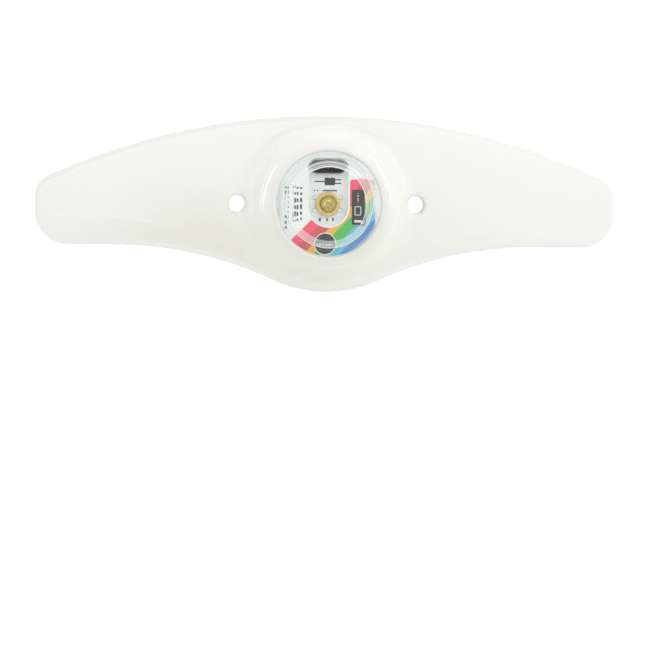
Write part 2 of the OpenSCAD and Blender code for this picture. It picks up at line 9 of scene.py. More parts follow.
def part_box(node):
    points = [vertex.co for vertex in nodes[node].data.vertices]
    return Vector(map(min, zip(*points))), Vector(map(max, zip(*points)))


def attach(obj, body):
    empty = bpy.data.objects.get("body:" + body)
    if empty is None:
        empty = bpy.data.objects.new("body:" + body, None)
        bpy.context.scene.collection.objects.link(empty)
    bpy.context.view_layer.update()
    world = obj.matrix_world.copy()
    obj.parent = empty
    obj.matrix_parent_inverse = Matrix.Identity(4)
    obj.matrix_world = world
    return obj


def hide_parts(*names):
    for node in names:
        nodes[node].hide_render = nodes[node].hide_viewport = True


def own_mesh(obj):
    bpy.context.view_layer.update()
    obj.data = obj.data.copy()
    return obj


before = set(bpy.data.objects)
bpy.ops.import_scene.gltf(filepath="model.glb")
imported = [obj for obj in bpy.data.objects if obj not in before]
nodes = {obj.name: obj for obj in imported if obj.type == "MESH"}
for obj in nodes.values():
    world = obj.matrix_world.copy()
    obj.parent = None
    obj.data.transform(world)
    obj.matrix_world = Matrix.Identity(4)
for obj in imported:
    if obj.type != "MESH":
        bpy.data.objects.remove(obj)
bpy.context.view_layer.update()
MM = 0.001

# Sizes of the blade in millimetres, as in the part's source
HALF_LENGTH = 74.0
WING_DROP = 10.6
TIP_WIDTH = 17.8
TIP_TOP_RADIUS = 5.5
TIP_BOTTOM_RADIUS = 8.5
WING_STRAIGHT = 12.1
BELLY_RADIUS = 32.0
EDGE_R = 1.3
FRONT_CROWN = 1.1
BACK_CROWN = 0.5
SWELL_WIDTH = 30.0
RIDGE_INSET = 4.8
WING_HEIGHT = 5.4
PAD_RADIUS = 11.5
HUB_FOOT_R = 20.09
CREST_Z = 13.04
RIM_CORNER_R = 17.24
RIM_ROUND = 4.0
FLANK_ANGLE = math.radians(75)
POCKET_R, POCKET_Z = 13.7, 1.4
SEAT_R, SEAT_Z, SEAT_TOP = 14.55, 10.94, 12.09
OPENING_R = 13.3
TIE_HOLE_X, TIE_HOLE_R = 22.791, 2.2
SLIT_HALF_WIDTH, SLIT_HALF_LENGTH, SLIT_OFFSET = 0.3, 9.5, 2.0
BRIM = 2.2
BLADE_HALF_HEIGHT = HUB_FOOT_R + BRIM

# Soft details of the moulding in millimetres: fillets, rounds, lips of the slit, fading of the swell
TIP_FADE = 7.0
HUB_FILLET, HUB_FILLET_GROWTH, HUB_FILLET_INSET = 1.4, 3.6, 6.0
OPENING_ROUND, OPENING_FLOOR_Z = 1.0, 6.0
TIE_HOLE_ROUND = 0.9
SLIT_ROUND, SLIT_OVERCUT = 0.3, 1.0
LIP_PLACES, LIP_DEPTH, LIP_WIDTH = (3.8, -3.4), 0.24, 0.4

# Edges in the pocket that stay sharp, as (radius, height), and how far from them points are caught
SHARP_RINGS = (
    (OPENING_R, SEAT_TOP),
    (SEAT_R, SEAT_TOP),
    (SEAT_R, SEAT_Z),
    (POCKET_R, SEAT_Z),
    (POCKET_R, POCKET_Z),
)
SHARP_REACH = 0.12

# Making of the blade's mesh in millimetres: grid stops are (position, spacing after it), and x is mirrored
GRID_X = ((0.0, 0.12), (0.72, 0.25), (2.0, 0.42), (26.0, 0.62), (70.0, 0.42), (74.8, 1))
GRID_Y = ((-23.0, 0.4), (23.0, 1))
GRID_Z = ((-0.45, 0.24), (13.5, 1))
LONGEST_STEP = 0.3
LEAST_SLOPE = 0.05
LEAST_WIDTH = 0.1
SLIDE = 0.5
ARC_OVERLAP_DEGREES = 0.01
TINY = 1e-6
FAR = 1e3

# Outline of the blade: crest arc, tip corners, swept lower edge and belly arc
tip_top = (HALF_LENGTH - TIP_TOP_RADIUS, -WING_DROP + TIP_WIDTH - TIP_TOP_RADIUS)
tip_bottom = (HALF_LENGTH - TIP_BOTTOM_RADIUS, -WING_DROP + TIP_BOTTOM_RADIUS)
crest_fall = BLADE_HALF_HEIGHT - tip_top[1]
crest_span = tip_top[0] ** 2 + crest_fall**2 - TIP_TOP_RADIUS**2
crest_radius = crest_span / (2 * (crest_fall - TIP_TOP_RADIUS))
crest_centre = BLADE_HALF_HEIGHT - crest_radius
crest_end = tip_top[0] * crest_radius / (crest_radius - TIP_TOP_RADIUS)
crest_angle = math.degrees(math.acos(crest_end / crest_radius))
sweep_end = tip_bottom[0] - WING_STRAIGHT
sweep_rise = BLADE_HALF_HEIGHT - WING_DROP
sweep_angle = 2 * math.degrees(math.atan(sweep_rise / sweep_end))
sweep_radius = sweep_rise / (1 - math.cos(math.radians(sweep_angle))) - BELLY_RADIUS
belly_end = BELLY_RADIUS * math.sin(math.radians(sweep_angle))


def arc_height(radius, x):
    """Height of a circle above its centre at a distance x from it, and 0 beyond the circle."""
    return np.sqrt(np.maximum(radius**2 - x**2, 0))


def crest_edge(x):
    """Height of the blade's upper edge at a distance x from the hub axis."""
    arc = crest_centre + arc_height(crest_radius, x)
    corner = tip_top[1] + arc_height(TIP_TOP_RADIUS, np.maximum(x - tip_top[0], 0))
    return np.where(x < crest_end, arc, corner)


def lower_edge(x):
    """Height of the blade's lower edge at a distance x from the hub axis."""
    belly = -BLADE_HALF_HEIGHT + BELLY_RADIUS - arc_height(BELLY_RADIUS, x)
    sweep = -WING_DROP - sweep_radius + arc_height(sweep_radius, sweep_end - x)
    corner = tip_bottom[1] - arc_height(TIP_BOTTOM_RADIUS, np.maximum(x - tip_bottom[0], 0))
    edge = np.where(x < sweep_end, sweep, corner)
    return np.where(x < belly_end, belly, edge)


def outline_distance(x, y):
    """Distance to the arc or line of the blade's outline that faces the point, negative inside."""
    ax = np.abs(x)
    best = np.full(ax.shape, FAR)
    arcs = (
        ((0.0, crest_centre), crest_radius, crest_angle, 90.0),
        (tip_top, TIP_TOP_RADIUS, 0.0, crest_angle),
        (tip_bottom, TIP_BOTTOM_RADIUS, -90.0, 0.0),
        ((sweep_end, -WING_DROP - sweep_radius), sweep_radius, 90.0, 90.0 + sweep_angle),
        ((0.0, -BLADE_HALF_HEIGHT + BELLY_RADIUS), BELLY_RADIUS, -90.0, -90.0 + sweep_angle),
    )
    for (cx, cy), radius, start, end in arcs:
        angle = np.degrees(np.arctan2(y - cy, ax - cx))
        gap = np.abs(np.hypot(ax - cx, y - cy) - radius)
        faces = (angle >= start - ARC_OVERLAP_DEGREES) & (angle <= end + ARC_OVERLAP_DEGREES)
        best = np.where(faces, np.minimum(best, gap), best)
    beside_tip = (y >= tip_bottom[1]) & (y <= tip_top[1])
    best = np.where(beside_tip, np.minimum(best, np.abs(ax - HALF_LENGTH)), best)
    under_wing = (ax >= sweep_end) & (ax <= tip_bottom[0])
    best = np.where(under_wing, np.minimum(best, np.abs(y + WING_DROP)), best)
    reach = np.minimum(ax, HALF_LENGTH)
    inside = (y < crest_edge(reach)) & (y > lower_edge(reach)) & (ax < HALF_LENGTH)
    return np.where(inside, -best, best)


def smooth_least(a, b, k):
    """Union of two distances with a fillet of about k where they meet."""
    h = np.maximum(k - np.abs(a - b), 0) / k
    return np.minimum(a, b) - h * h * k / 4


def smooth_most(a, b, k):
    """Intersection of two distances with a round of about k where they meet."""
    return -smooth_least(-a, -b, k)


def rounded_corner(a, b, radius):
    """Intersection of two distances that are measured from the middle of the round between them."""
    return np.hypot(np.maximum(a, 0), np.maximum(b, 0)) + np.minimum(np.maximum(a, b), 0) - radius


def wing_distance(x, y, z):
    """Thin wings with full-round edges and a soft ridge near the lower edge."""
    reach = np.minimum(np.abs(x), HALF_LENGTH)
    low, high = lower_edge(reach), crest_edge(reach)
    width = np.maximum(high - low, LEAST_WIDTH)
    ridge = np.minimum(RIDGE_INSET, width / 2)
    d = np.clip(y - low, 0, width)
    s = np.where(d < ridge, d / ridge, (width - d) / (width - ridge))
    tip = np.clip((HALF_LENGTH - reach) / TIP_FADE, 0, 1)
    swell = s * (2 - s) * np.minimum(1, width / SWELL_WIDTH) * tip * (2 - tip)
    middle = WING_HEIGHT + (FRONT_CROWN - BACK_CROWN) / 2 * swell
    from_edge = outline_distance(x, y) + EDGE_R
    from_face = np.abs(z - middle) - (FRONT_CROWN + BACK_CROWN) / 2 * swell
    return rounded_corner(from_edge, from_face, EDGE_R)


def hub_distance(rho, z):
    """Round hub: flat pad and dome behind, steep flank and rounded rim in front."""
    dome_r = ((HUB_FOOT_R - PAD_RADIUS) ** 2 + WING_HEIGHT**2) / (2 * WING_HEIGHT)
    dome = np.hypot(rho - PAD_RADIUS, np.minimum(z - dome_r, 0)) - dome_r
    behind = np.where(rho < PAD_RADIUS, -z, dome)
    top = z - CREST_Z
    flank = (rho - RIM_CORNER_R) * math.sin(FLANK_ANGLE) + top * math.cos(FLANK_ANGLE)
    front = rounded_corner(top + RIM_ROUND, flank + RIM_ROUND, RIM_ROUND)
    return np.maximum(front, behind)


def blade_distance(x, y, z):
    """Distance to the whole blade: wings and hub, less the pocket, opening, tie holes and slit."""
    rho = np.hypot(x, y)
    inset = np.clip(-outline_distance(x, y) / HUB_FILLET_INSET, 0, 1)
    fillet = HUB_FILLET + HUB_FILLET_GROWTH * inset
    solid = smooth_least(wing_distance(x, y, z), hub_distance(rho, z), fillet)
    opening = np.where(z > OPENING_FLOOR_Z, OPENING_R - rho, -FAR)
    solid = smooth_most(solid, opening, OPENING_ROUND)
    pocket = np.maximum(rho - POCKET_R, np.maximum(POCKET_Z - z, z - SEAT_TOP))
    seat = np.maximum(rho - SEAT_R, np.maximum(SEAT_Z - z, z - SEAT_TOP))
    solid = np.maximum(solid, -np.minimum(pocket, seat))
    tie_hole = np.hypot(np.abs(x) - TIE_HOLE_X, y) - TIE_HOLE_R
    solid = smooth_most(solid, -tie_hole, TIE_HOLE_ROUND)
    run = np.maximum(np.abs(y - SLIT_OFFSET) - SLIT_HALF_LENGTH, 0)
    lips = sum(LIP_DEPTH * np.exp(-(((y - spot) / LIP_WIDTH) ** 2)) for spot in LIP_PLACES)
    slit = np.maximum(np.hypot(x, run) - SLIT_HALF_WIDTH + lips, z - POCKET_Z - SLIT_OVERCUT)
    return smooth_most(solid, -slit, SLIT_ROUND)


def gradient(field, p, h=2e-3):
    """Slope of a distance field at points p, by central differences."""
    g = np.empty_like(p)
    for axis in range(3):
        step = np.zeros(3)
        step[axis] = h
        ahead, behind = p + step, p - step
        g[:, axis] = (field(*ahead.T) - field(*behind.T)) / (2 * h)
    return g


def unit(vectors):
    """Vectors of length 1 with the same directions."""
    return vectors / np.maximum(np.linalg.norm(vectors, axis=1), TINY)[:, None]


def surface_net(field, axes):
    """Points and quads of the surface where a field is zero, one point in each grid cell it crosses."""
    xs, ys, zs = axes
    shape = (len(xs), len(ys), len(zs))
    values = np.empty(shape)
    for i, x in enumerate(xs):
        yy, zz = np.meshgrid(ys, zs, indexing="ij")
        values[i] = field(np.full(yy.size, x), yy.ravel(), zz.ravel()).reshape(yy.shape)
    cells = tuple(n - 1 for n in shape)
    total = np.zeros((math.prod(cells), 3))
    count = np.zeros(math.prod(cells))
    edges = []
    for a in range(3):
        b, c = (a + 1) % 3, (a + 2) % 3
        low = np.take(values, range(shape[a] - 1), axis=a)
        high = np.take(values, range(1, shape[a]), axis=a)
        index = np.argwhere((low < 0) != (high < 0))
        lo, hi = low[tuple(index.T)], high[tuple(index.T)]
        point = np.stack([axes[k][index[:, k]] for k in range(3)], 1)
        share = lo / (lo - hi)
        point[:, a] += share * (axes[a][index[:, a] + 1] - axes[a][index[:, a]])
        round_edge = []
        for db, dc in ((0, 0), (-1, 0), (-1, -1), (0, -1)):
            cell = index.copy()
            cell[:, b] += db
            cell[:, c] += dc
            flat = np.ravel_multi_index(tuple(cell.T), cells)
            for k in range(3):
                total[:, k] += np.bincount(flat, point[:, k], len(total))
            count += np.bincount(flat, minlength=len(count))
            round_edge.append(flat)
        quad = np.stack(round_edge, 1)
        edges.append(np.where((lo < 0)[:, None], quad, quad[:, ::-1]))
    used = count > 0
    number = np.cumsum(used) - 1
    return total[used] / count[used, None], number[np.concatenate(edges)]


def settle_on(field, p, steps):
    """Moves points onto the surface of a distance field."""
    for _ in range(steps):
        g = gradient(field, p)
        length = np.maximum((g * g).sum(1), LEAST_SLOPE)
        p = p - np.clip(field(*p.T) / length, -LONGEST_STEP, LONGEST_STEP)[:, None] * g
    return p


def even_out(field, p, quads, rounds):
    """Slides points along the surface towards the middle of their neighbours, for an even mesh."""
    pairs = np.concatenate([quads[:, [i, (i + 1) % 4]] for i in range(4)])
    start, end = pairs.T
    degree = np.maximum(np.bincount(start, minlength=len(p)), 1)[:, None]
    for _ in range(rounds):
        middle = np.stack([np.bincount(start, p[end, k], len(p)) for k in range(3)], 1) / degree
        normal = unit(gradient(field, p))
        move = middle - p
        p = p + SLIDE * (move - (move * normal).sum(1)[:, None] * normal)
        p = settle_on(field, p, steps=1)
    return p


def sharpen(p, rings, reach):
    """Moves points that are close to a sharp round edge onto it; a ring is (radius, height)."""
    for radius, height in rings:
        rho = np.maximum(np.hypot(p[:, 0], p[:, 1]), TINY)
        near = np.hypot(rho - radius, p[:, 2] - height) < reach
        p[near, :2] *= (radius / rho[near])[:, None]
        p[near, 2] = height
    return p


def steps_between(stops):
    """Grid positions through stops of (position, spacing after it)."""
    out = []
    for (start, gap), (end, _) in zip(stops, stops[1:]):
        n = max(1, round((end - start) / gap))
        out += list(np.linspace(start, end, n, endpoint=False))
    return np.array(out + [stops[-1][0]])


def make_blade():
    """Mesh of the blade from its distance field, with normals from the field."""
    right = steps_between(GRID_X)
    xs = np.concatenate([-right[:0:-1], right])
    p, quads = surface_net(blade_distance, (xs, steps_between(GRID_Y), steps_between(GRID_Z)))
    p = settle_on(blade_distance, p, steps=4)
    p = even_out(blade_distance, p, quads, rounds=5)
    p = settle_on(blade_distance, p, steps=3)
    normals = unit(gradient(blade_distance, p))
    p = sharpen(p, SHARP_RINGS, SHARP_REACH)
    mesh = bpy.data.meshes.new("silicone_blade")
    mesh.from_pydata((p * MM).tolist(), [], quads.tolist())
    mesh.validate()
    mesh.shade_smooth()
    mesh.normals_split_custom_set_from_vertices(normals.tolist())
    blade = bpy.data.objects.new("silicone_blade", mesh)
    bpy.context.scene.collection.objects.link(blade)
    return blade


def plug(tree, value, slot):
    """Links a socket or a Num to a node's input, or sets the input to a plain value."""
    source = getattr(value, "socket", value)
    if isinstance(source, bpy.types.NodeSocket):
        tree.links.new(source, slot)
    elif slot.type == "RGBA":
        slot.default_value = (*source, 1.0)
    else:
        slot.default_value = source


class Num:
    """A number in a shader tree, so that patterns can be written as formulas."""

    def __init__(self, tree, socket):
        self.tree, self.socket = tree, socket

    def math(self, operation, *others, clamp=False):
        """The result of a Math node with this number as its first input."""
        node = self.tree.nodes.new("ShaderNodeMath")
        node.operation = operation
        node.use_clamp = clamp
        for slot, value in zip(node.inputs, (self, *others)):
            plug(self.tree, value, slot)
        return Num(self.tree, node.outputs[0])

    def __add__(self, other):
        return self.math("ADD", other)

    def __sub__(self, other):
        return self.math("SUBTRACT", other)

    def __mul__(self, other):
        return self.math("MULTIPLY", other)

    def __truediv__(self, other):
        return self.math("DIVIDE", other)

    def abs(self):
        return self.math("ABSOLUTE")

    def most(self, other):
        return self.math("MAXIMUM", other)

    def least(self, other):
        return self.math("MINIMUM", other)

    def clamped(self):
        """The number kept from 0 to 1."""
        return self.math("ADD", 0.0, clamp=True)

    def hypot(self, other):
        return (self * self + other * other).math("SQRT")

    def random(self, seed):
        """A steady random number from 0 to 1 for each whole number."""
        node = self.tree.nodes.new("ShaderNodeTexWhiteNoise")
        node.noise_dimensions = "1D"
        plug(self.tree, self.math("FLOOR") + seed, node.inputs["W"])
        return Num(self.tree, node.outputs["Value"])

    def wrapped(self, period):
        """Place along a pattern, from the middle of the repeat that it falls in."""
        return self.math("FLOORED_MODULO", period) - period / 2

    def between(self, start, end):
        """A smooth change from 0 at start to 1 at end, where start may be the larger."""
        node = self.tree.nodes.new("ShaderNodeMapRange")
        node.interpolation_type = "SMOOTHSTEP"
        plug(self.tree, self, node.inputs["Value"])
        node.inputs["From Min"].default_value = min(start, end)
        node.inputs["From Max"].default_value = max(start, end)
        node.inputs["To Min"].default_value = 0.0 if start < end else 1.0
        node.inputs["To Max"].default_value = 1.0 if start < end else 0.0
        return Num(self.tree, node.outputs["Result"])

    def line(self, centre, half):
        """1 on a line at centre, fading to 0 at half to each side."""
        return (self - centre).abs().between(half, 0.0)

    def inked(self, blur=0.05):
        """Coverage of ink where a distance is below zero."""
        return self.between(blur, -blur)


EVEN = (1, 1, 1)


class Shades:
    """Nodes of one shader tree, with its coordinates in millimetres."""

    def __init__(self, tree, place):
        self.tree, self.place = tree, place
        parts = tree.nodes.new("ShaderNodeSeparateXYZ")
        plug(tree, place, parts.inputs[0])
        self.x, self.y, self.z = (Num(tree, socket) for socket in parts.outputs)

    def noise(self, scale, detail=2.0, stretch=EVEN):
        """Noise from 0 to 1, with scale in cycles for each millimetre."""
        mapping = self.tree.nodes.new("ShaderNodeMapping")
        plug(self.tree, self.place, mapping.inputs["Vector"])
        plug(self.tree, stretch, mapping.inputs["Scale"])
        node = self.tree.nodes.new("ShaderNodeTexNoise")
        plug(self.tree, mapping.outputs[0], node.inputs["Vector"])
        plug(self.tree, scale, node.inputs["Scale"])
        plug(self.tree, detail, node.inputs["Detail"])
        return Num(self.tree, node.outputs["Fac"])

    def rings(self, scale):
        """Uneven rings from 0 to 1 round the hub's axis, with scale in cycles for each millimetre."""
        node = self.tree.nodes.new("ShaderNodeTexNoise")
        node.noise_dimensions = "1D"
        plug(self.tree, self.x.hypot(self.y), node.inputs["W"])
        plug(self.tree, scale, node.inputs["Scale"])
        return Num(self.tree, node.outputs["Fac"])

    def mix(self, share, a, b):
        """Colour between a and b."""
        node = self.tree.nodes.new("ShaderNodeMix")
        node.data_type = "RGBA"
        for value, slot in ((share, node.inputs["Factor"]), (a, node.inputs[6]), (b, node.inputs[7])):
            plug(self.tree, value, slot)
        return node.outputs[2]

    def bump(self, height, depth):
        """Normal from a height, where 1 stands for depth millimetres."""
        node = self.tree.nodes.new("ShaderNodeBump")
        plug(self.tree, height, node.inputs["Height"])
        plug(self.tree, depth * MM, node.inputs["Distance"])
        return node.outputs[0]


def shader_group(name, inputs, outputs):
    """A new shader group with its named sockets, and the sockets of its input and output nodes."""
    group = bpy.data.node_groups.new(name, "ShaderNodeTree")
    for way, sockets in (("INPUT", inputs), ("OUTPUT", outputs)):
        for label, kind in sockets.items():
            group.interface.new_socket(label, in_out=way, socket_type=f"NodeSocket{kind}")
    return group, group.nodes.new("NodeGroupInput").outputs, group.nodes.new("NodeGroupOutput").inputs


def make_grain():
    """Group for moulded, printed and plated finishes: mottled colour and roughness, and a fine bump."""
    inputs = {"Place": "Vector", "Stretch": "Vector", "Dark": "Color", "Light": "Color"}
    inputs.update(dict.fromkeys(("Roughness", "Spread", "Mottle", "Grain", "Depth"), "Float"))
    outputs = {"Colour": "Color", "Roughness": "Float", "Normal": "Vector"}
    group, given, made = shader_group("grain", inputs, outputs)
    s = Shades(group, given["Place"])
    mottle = s.noise(given["Mottle"], 3.0, given["Stretch"])
    grain = s.noise(given["Grain"], 3.0, given["Stretch"])
    plug(group, s.mix(mottle.between(0.3, 0.7), given["Dark"], given["Light"]), made["Colour"])
    plug(group, mottle * given["Spread"] + given["Roughness"], made["Roughness"])
    plug(group, s.bump(grain, Num(group, given["Depth"])), made["Normal"])
    return group


def make_turning():
    """Group for turned finishes: fine rings round the hub's axis, as a mask and as a normal."""
    inputs = {"Place": "Vector", "Scale": "Float", "Depth": "Float"}
    group, given, made = shader_group("turning", inputs, {"Rings": "Float", "Normal": "Vector"})
    s = Shades(group, given["Place"])
    rings = s.rings(given["Scale"])
    plug(group, rings, made["Rings"])
    plug(group, s.bump(rings, Num(group, given["Depth"])), made["Normal"])
    return group


GRAIN = make_grain()
TURNING = make_turning()


class Surface(Shades):
    """A material with one main shader."""

    def __init__(self, name):
        self.material = bpy.data.materials.new(name)
        self.material.use_nodes = True
        tree = self.material.node_tree
        tree.nodes.clear()
        self.out = tree.nodes.new("ShaderNodeOutputMaterial")
        self.shader = tree.nodes.new("ShaderNodeBsdfPrincipled")
        self.coordinates = tree.nodes.new("ShaderNodeTexCoord").outputs
        scale = tree.nodes.new("ShaderNodeVectorMath")
        scale.operation = "SCALE"
        scale.inputs["Scale"].default_value = 1 / MM
        plug(tree, self.shader.outputs[0], self.out.inputs["Surface"])
        plug(tree, self.coordinates["Object"], scale.inputs[0])
        super().__init__(tree, scale.outputs[0])

    def set(self, **values):
        """Sets inputs of the shader to plain values."""
        for name, value in values.items():
            self.shader.inputs[name.replace("_", " ")].default_value = value

    def feed(self, name, value):
        """Links a pattern to an input of the shader."""
        plug(self.tree, value, self.shader.inputs[name])

    def place_group(self, group, **values):
        """Output sockets of a shared group placed in this material with its own values."""
        node = self.tree.nodes.new("ShaderNodeGroup")
        node.node_tree = group
        for name, value in {"Place": self.place, **values}.items():
            plug(self.tree, value, node.inputs[name])
        return node.outputs

    def grained(
        self, dark, light, roughness=0.4, spread=0.15, mottle=0.7, grain=8.0, depth=0.006, stretch=EVEN
    ):
        """Feeds the shared grain to colour, roughness and normal, and returns its colour."""
        values = {"Dark": dark, "Light": light, "Roughness": roughness, "Spread": spread}
        values.update({"Mottle": mottle, "Grain": grain, "Depth": depth, "Stretch": stretch})
        made = self.place_group(GRAIN, **values)
        self.feed("Base Color", made["Colour"])
        self.feed("Roughness", made["Roughness"])
        self.feed("Normal", made["Normal"])
        return made["Colour"]

    def blend(self, share, a, b):
        """Shader between a and b."""
        node = self.tree.nodes.new("ShaderNodeMixShader")
        for value, slot in zip((share, a, b), node.inputs):
            plug(self.tree, value, slot)
        return node.outputs[0]

    def let_light_through(self, shader, share=None):
        """Shows a shader, but lets light that falls on other surfaces pass it, all of it or a share."""
        path = self.tree.nodes.new("ShaderNodeLightPath").outputs
        through = self.tree.nodes.new("ShaderNodeBsdfTransparent").outputs[0]
        if share is not None:
            through = self.blend(share, shader, through)
        for kind in ("Is Shadow Ray", "Is Diffuse Ray"):
            shader = self.blend(path[kind], shader, through)
        plug(self.tree, shader, self.out.inputs["Surface"])


def srgb(*levels):
    """Linear colour of an sRGB colour with levels from 0 to 255."""
    shares = [level / 255 for level in levels]
    return tuple(v / 12.92 if v <= 0.04045 else ((v + 0.055) / 1.055) ** 2.4 for v in shares)


def box_distance(s, centre, half, corner):
    """Distance to a rounded box seen from the front, by its centre, half size and corner radius."""
    a = (s.x - centre[0]).abs() - (half[0] - corner)
    b = (s.y - centre[1]).abs() - (half[1] - corner)
    return a.most(0.0).hypot(b.most(0.0)) + a.most(b).least(0.0) - corner


def disc_distance(s, centre, radius):
    """Distance to a disc seen from the front."""
    return (s.x - centre[0]).hypot(s.y - centre[1]) - radius


# Half length of a printed dash as a share of the pitch: the least, and the random rest
DASH_LEAST, DASH_REST = 0.18, 0.2


def dashes(across, along, half_width, pitch, half_length, seed):
    """Ink of a row of short dashes of uneven length."""
    half_dash = (along / pitch).random(seed) * (DASH_REST * pitch) + DASH_LEAST * pitch
    dash = along.wrapped(pitch).abs() - half_dash
    return (across.abs() - half_width).most(dash).most(along.abs() - half_length).inked(0.06)


# Marks of the mould in millimetres: rings of (radius, half width, depth), the gate's box and the seam
MOULD_RINGS = ((17.1, 0.3, 0.03), (18.2, 0.35, 0.012), (20.0, 0.5, 0.02))
GATE_MARK = ((0.3, 20.7), (4.7, 0.85), 0.3)
GATE_DEPTH = 0.04
SEAM_HALF_WIDTH, SEAM_HEIGHT = 0.25, 0.03
SILICONE_IOR = 1.41


def frosted_silicone():
    """Cloudy rubber, yellower low on the hub, with painted shade low on the blade and at upper wing edges,
    painted light at lower ones, a painted fold, mould marks and a seam.
    """
    s = Surface("frosted_silicone")
    rho = s.x.hypot(s.y)
    hub = rho.between(27.0, 15.0)
    cloud = s.noise(0.1, 3.0, (0.5, 1.5, 1.0))
    haze = s.noise(0.9, 4.0)

    # Clean rubber, yellowish low on the hub, with painted shade (darker, yellower) low on its rim, greyer
    # at the tips
    clean = s.mix(cloud, srgb(246, 247, 241), srgb(250, 251, 246))
    clean = s.mix(hub * s.y.between(10.0, -14.0), clean, srgb(248, 250, 239))
    low_rim_painted_shade = s.z.between(10.8, 12.4) * s.y.between(4.0, -12.0)
    clean = s.mix(low_rim_painted_shade * 0.7, clean, srgb(239, 242, 229))
    clean = s.mix(s.x.abs().between(54.0, HALF_LENGTH) * 0.6, clean, srgb(240, 241, 237))

    # Painted shade low on the wings, more of it on the left, in a milkier colour; on the left wing,
    # painted shade below a faint fold and a painted highlight along it
    milk_and_painted_light = s.mix(haze, srgb(231, 231, 221), srgb(235, 235, 226))
    beside_hub = rho.between(30.0, 19.0) * -0.55 + 1.0
    low = s.y.between(16.0, -17.0) * s.x.abs().between(80.0, 24.0) * beside_hub
    colour = s.mix(low * (s.x.between(50.0, -50.0) * 0.9 + 0.55), clean, milk_and_painted_light)
    fold = s.y - (s.x.between(-58.0, -36.0) * -2.6 - 3.7)
    left_front = s.x.between(-36.0, -46.0) * s.x.between(-73.0, -67.0) * s.z.between(5.2, 5.8)
    colour = s.mix(fold.between(0.5, -0.5) * left_front * 0.26, colour, milk_and_painted_light)
    colour = s.mix(fold.line(0.7, 0.6) * left_front * 0.25, colour, srgb(252, 252, 248))

    # Painted shade on the upper edge of the wings and painted light on their lower edge, picked by which
    # way the surface faces
    facing = s.tree.nodes.new("ShaderNodeSeparateXYZ")
    plug(s.tree, s.coordinates["Normal"], facing.inputs[0])
    upward = Num(s.tree, facing.outputs["Y"])
    wing = s.z.between(8.2, 7.2) * rho.between(19.0, 22.0)
    upper = wing * upward.between(0.05, 0.4) * (s.x.between(40.0, -10.0) * 0.25 + 0.45)
    colour = s.mix(upper, colour, srgb(234, 235, 230))
    lower_edge_painted_light = wing * s.x.abs().between(6.0, 24.0) * upward.between(-0.1, -0.8)
    s.feed("Base Color", s.mix(lower_edge_painted_light * 0.8, colour, srgb(254, 254, 249)))

    # Matt wings and a glossier hub, with the marks of the mould
    s.feed("Roughness", s.noise(0.5, 3.0) * 0.08 + 0.52 - hub * 0.4)
    mould = reduce(Num.__add__, [rho.line(radius, half) * depth for radius, half, depth in MOULD_RINGS])
    gate = box_distance(s, *GATE_MARK).inked(0.25) * GATE_DEPTH
    seam = s.x.line(0.0, SEAM_HALF_WIDTH) * s.z.between(5.0, 3.0) * SEAM_HEIGHT
    grain = s.noise(7.0, 3.0) * (hub * -0.002 + 0.002) + haze * 0.002
    s.feed("Normal", s.bump(grain - (mould + gate) * s.z.between(5.0, 6.5) + seam, 1.0))
    s.set(Subsurface_Weight=0.45, Subsurface_Radius=(1.0, 0.98, 0.9), Subsurface_Scale=4 * MM)
    s.set(IOR=SILICONE_IOR)
    s.let_light_through(s.shader.outputs[0], hub * 0.5 + 0.3)
    return s.material


def clear_silicone(name, haze):
    """Clear rubber; haze is a formula for how clouded it is at each place, and on the ring it paints a
    reflection.
    """
    s = Surface(name)
    s.set(Roughness=0.03, IOR=SILICONE_IOR, Transmission_Weight=1.0)
    s.feed("Base Color", s.mix(s.noise(0.3), srgb(250, 255, 255), srgb(255, 255, 255)))
    s.feed("Normal", s.bump(s.noise(0.35), 0.012))
    # Milk-white shader for the button's haze and for the ring's painted reflection
    milk_and_painted_light = s.tree.nodes.new("ShaderNodeBsdfPrincipled")
    milk = s.mix(s.noise(0.8), srgb(246, 249, 247), srgb(252, 253, 251))
    plug(s.tree, milk, milk_and_painted_light.inputs["Base Color"])
    milk_and_painted_light.inputs["Roughness"].default_value = 0.3
    s.let_light_through(s.blend(haze(s).clamped(), s.shader.outputs[0], milk_and_painted_light.outputs[0]))
    return s.material


# Haze of the clear pieces and the ring's painted reflection in millimetres: radii of the button's bevel,
# and heights where they set in
BEVEL_INNER_R, BEVEL_OUTER_R = 9.4, 11.1
BUTTON_FRONT_Z = (12.9, 13.2)
RING_FRONT_Z = (11.7, 11.95)


def button_haze(s):
    """Milky bevel with fine rings and a whiter line at its inner and outer edge."""
    rho = s.x.hypot(s.y)
    top = s.y.between(5.0, 8.5)
    milk = s.rings(2.6).between(0.25, 0.75) * (top * 0.25 + 0.2) + 0.26 + top * 0.03
    milk = milk * (top * rho.between(BEVEL_OUTER_R - 0.2, BEVEL_OUTER_R + 0.05) * -0.8 + 1.0)
    band = rho.between(BEVEL_INNER_R - 0.15, BEVEL_INNER_R + 0.05)
    band = band * rho.between(BEVEL_OUTER_R + 0.2, BEVEL_OUTER_R + 0.1) * milk
    inner = ((rho - BEVEL_INNER_R).abs() - 0.16).inked(0.1) * s.y.between(-7.0, 1.0) * 0.4
    outer = ((rho - BEVEL_OUTER_R).abs() - 0.14).inked(0.08) * s.y.between(4.0, -6.0) * 0.4
    return (band + inner + outer) * s.z.between(*BUTTON_FRONT_Z)


def ring_painted_glare(s):
    """Painted reflection of a lamp on the right: a soft smear over the right of the clear ring, thickest
    at its edge.
    """
    streak = s.noise(1.6, 3.0, (0.4, 1.6, 1.0)) * 0.5 + 0.3
    smear = streak * s.x.between(8.6, 10.4) * s.y.between(-4.0, 0.0)
    edge = s.x.hypot(s.y).between(12.3, 12.9) * s.x.between(4.0, 9.0)
    edge = edge * (s.y.between(-6.0, -1.0) * 0.4 + 0.3)
    return smear.most(edge) * s.z.between(*RING_FRONT_Z)


